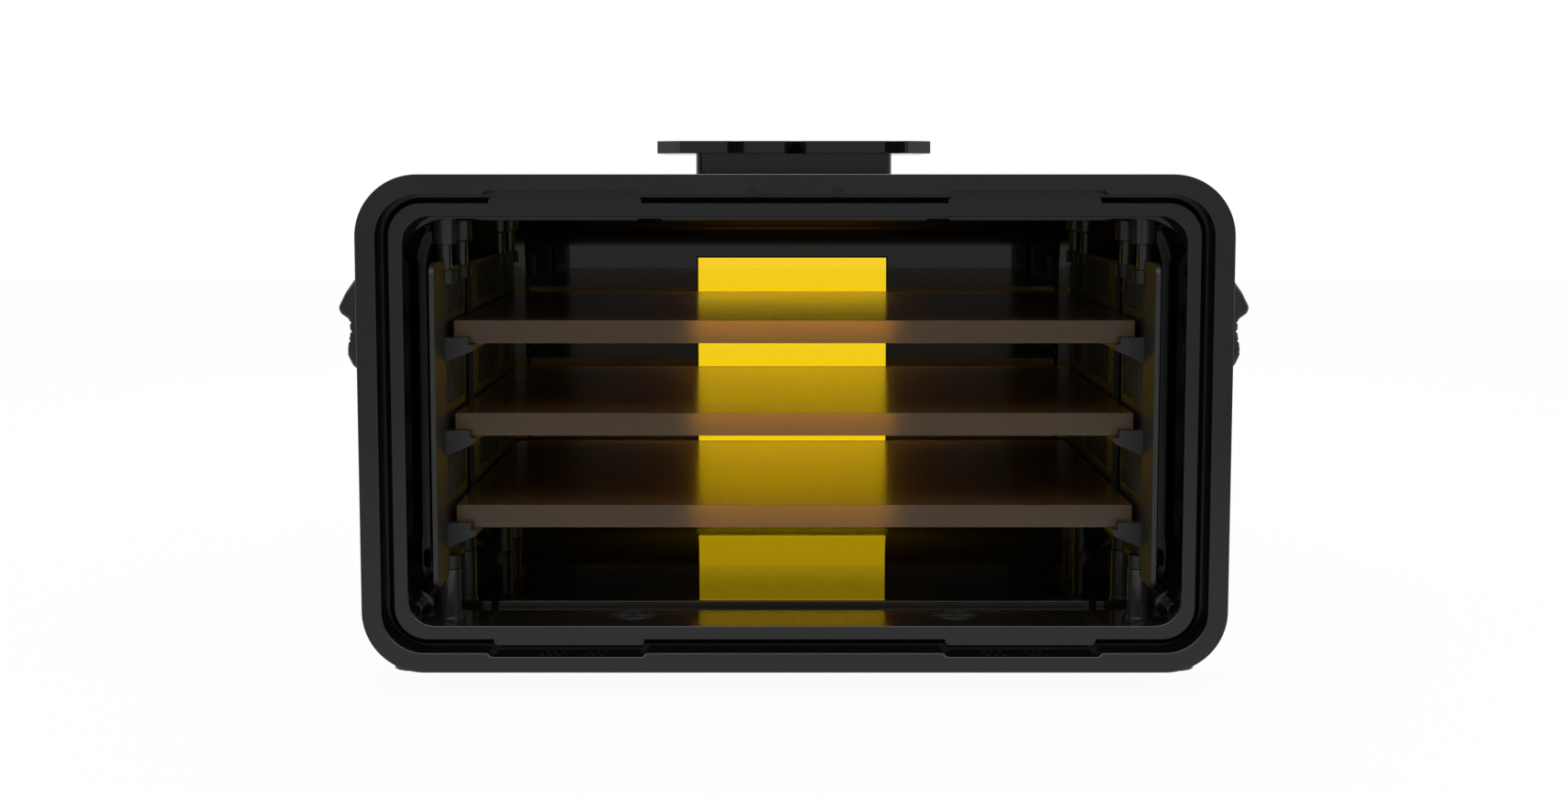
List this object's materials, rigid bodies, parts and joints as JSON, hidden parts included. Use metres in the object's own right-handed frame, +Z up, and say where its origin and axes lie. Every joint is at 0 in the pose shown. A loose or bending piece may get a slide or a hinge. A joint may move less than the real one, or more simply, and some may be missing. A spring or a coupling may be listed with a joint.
{
  "type": "front opening wafer pod",
  "caption": "Black moulded carrier, open at its door end, with side racks that hold thick rectangular panels, an amber rear window, a robotic top flange and side handles.",
  "frame": {"origin": "centre of the footprint, on the surface the pod stands on", "axes": "+X across the opening to the right of someone facing it, -Y out of the opening, +Z up"},
  "size_m": [0.4852, 0.3672, 0.2715],
  "materials": {
    "gloss_black": "polished injection-moulded carbon-filled polycarbonate, close to a mirror",
    "satin_black": "moulded carbon-filled engineering plastic with a satin surface",
    "amber": "clear amber polycarbonate that filters blue light",
    "rubber_black": "matt rubber bead",
    "panel_brown": "smooth dark brown panel with a semi-gloss face",
    "handle_grey": "semi-gloss charcoal grey moulded grip",
    "steel": "bright stainless steel",
    "membrane": "white filter membrane"
  },
  "bodies": {
    "pod": {"base_plate": "satin_black", "base_runner_left": "satin_black", "base_runner_right": "satin_black", "bottom_panel": "panel_brown", "corner_stud_left": "satin_black", "corner_stud_right": "satin_black", "coupling_front_left": "satin_black", "coupling_front_right": "satin_black", "coupling_rear": "satin_black", "door_frame": "satin_black", "flange_neck": "satin_black", "flange_screw_1": "steel", "flange_screw_2": "steel", "flange_screw_3": "steel", "flange_screw_4": "steel", "front_rack_left": "satin_black", "front_rack_right": "satin_black", "handle_mount_left": "satin_black", "handle_mount_right": "satin_black", "handle_screw_left_1": "steel", "handle_screw_left_2": "steel", "handle_screw_right_1": "steel", "handle_screw_right_2": "steel", "lower_post_left_1": "satin_black", "lower_post_left_2": "satin_black", "lower_post_left_3": "satin_black", "lower_post_left_4": "satin_black", "lower_post_right_1": "satin_black", "lower_post_right_2": "satin_black", "lower_post_right_3": "satin_black", "lower_post_right_4": "satin_black", "middle_panel": "panel_brown", "purge_cover_left": "satin_black", "purge_cover_right": "satin_black", "purge_filter_left": "membrane", "purge_filter_right": "membrane", "purge_housing_left": "satin_black", "purge_housing_right": "satin_black", "purge_spring_left": "steel", "purge_spring_right": "steel", "rear_rack_left": "satin_black", "rear_rack_right": "satin_black", "rear_window": "amber", "shell": "gloss_black", "side_handle_left": "handle_grey", "side_handle_right": "handle_grey", "top_flange": "satin_black", "top_panel": "panel_brown", "upper_post_left_1": "satin_black", "upper_post_left_2": "satin_black", "upper_post_left_3": "satin_black", "upper_post_left_4": "satin_black", "upper_post_right_1": "satin_black", "upper_post_right_2": "satin_black", "upper_post_right_3": "satin_black", "upper_post_right_4": "satin_black", "window_seal": "rubber_black"},
    "poppet_left": {"purge_poppet_left": "satin_black"},
    "poppet_right": {"purge_poppet_right": "satin_black"}
  },
  "joints": [
    {"name": "purge_poppet_left_slide", "type": "slide", "parent": "pod", "child": "poppet_left", "axis": [0, 0, 1], "range_m": [0, 0.0025], "stiffness_N_per_m": 400, "springref_m": -0.002, "deforming": ["purge_spring_left"]},
    {"name": "purge_poppet_right_slide", "type": "slide", "parent": "pod", "child": "poppet_right", "axis": [0, 0, 1], "range_m": [0, 0.0025], "stiffness_N_per_m": 400, "springref_m": -0.002, "deforming": ["purge_spring_right"]}
  ]
}
